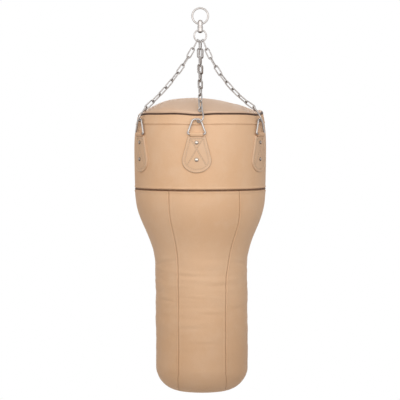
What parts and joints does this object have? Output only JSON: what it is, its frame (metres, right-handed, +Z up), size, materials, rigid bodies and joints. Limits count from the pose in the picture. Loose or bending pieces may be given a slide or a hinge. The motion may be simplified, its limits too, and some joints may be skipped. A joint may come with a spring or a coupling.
{
  "type": "punching bag",
  "caption": "Hanging leather punching bag, wide on top and narrow below, on chains, dee rings, a swivel and a hanging ring.",
  "frame": {"origin": "hanging point, at the inner top of the top ring where it lies on a ceiling hook", "axes": "+Z up, -Y the front of the bag, +X the right of the picture"},
  "size_m": [0.4998, 0.5295, 1.4549],
  "materials": {
    "steel": "bright nickel-plated steel wire, lightly tarnished",
    "leather": "undyed natural leather with a fine grain and a soft sheen",
    "lid_leather": "undyed natural leather, drawn over the filling",
    "piping": "dark brown leather over a cord, satin",
    "textile": "packed textile offcuts"
  },
  "bodies": {
    "hanger": {"top_ring": "steel"},
    "swivel_top": {"swivel_head": "steel", "swivel_nut": "steel"},
    "swivel_bottom": {"swivel_barrel": "steel"},
    "chain_ring": {"lower_ring": "steel"},
    "bag": {"front_link_1": "steel", "front_link_2": "steel", "front_link_3": "steel", "front_link_4": "steel", "front_link_5": "steel", "front_link_6": "steel", "front_link_7": "steel", "front_link_8": "steel", "front_link_9": "steel", "back_link_1": "steel", "back_link_2": "steel", "back_link_3": "steel", "back_link_4": "steel", "back_link_5": "steel", "back_link_6": "steel", "back_link_7": "steel", "back_link_8": "steel", "back_link_9": "steel", "left_link_1": "steel", "left_link_2": "steel", "left_link_3": "steel", "left_link_4": "steel", "left_link_5": "steel", "left_link_6": "steel", "left_link_7": "steel", "left_link_8": "steel", "left_link_9": "steel", "right_link_1": "steel", "right_link_2": "steel", "right_link_3": "steel", "right_link_4": "steel", "right_link_5": "steel", "right_link_6": "steel", "right_link_7": "steel", "right_link_8": "steel", "right_link_9": "steel", "front_hook": "steel", "back_hook": "steel", "left_hook": "steel", "right_hook": "steel", "front_dee_ring": "steel", "back_dee_ring": "steel", "left_dee_ring": "steel", "right_dee_ring": "steel", "front_tab": "leather", "back_tab": "leather", "left_tab": "leather", "right_tab": "leather", "top_lid": "lid_leather", "rim_piping": "piping", "upper_band": "leather", "lower_piping": "piping", "lower_shell": "leather", "base_disc": "leather", "filling": "textile"}
  },
  "joints": [
    {"name": "head_rock", "type": "hinge", "parent": "hanger", "child": "swivel_top", "pos_m": [0, 0, -0.05625], "axis": [1, 0, 0], "range_deg": [-40, 40]},
    {"name": "swivel_spin", "type": "hinge", "parent": "swivel_top", "child": "swivel_bottom", "pos_m": [0, 0, -0.06435], "axis": [0, 0, 1], "continuous": true},
    {"name": "ring_rock", "type": "hinge", "parent": "swivel_bottom", "child": "chain_ring", "pos_m": [0, 0, -0.07805], "axis": [1, 0, 0], "range_deg": [-40, 40]},
    {"name": "bag_swing", "type": "hinge", "parent": "chain_ring", "child": "bag", "pos_m": [0, 0, -0.10105], "axis": [0, 1, 0], "range_deg": [-30, 30]}
  ]
}
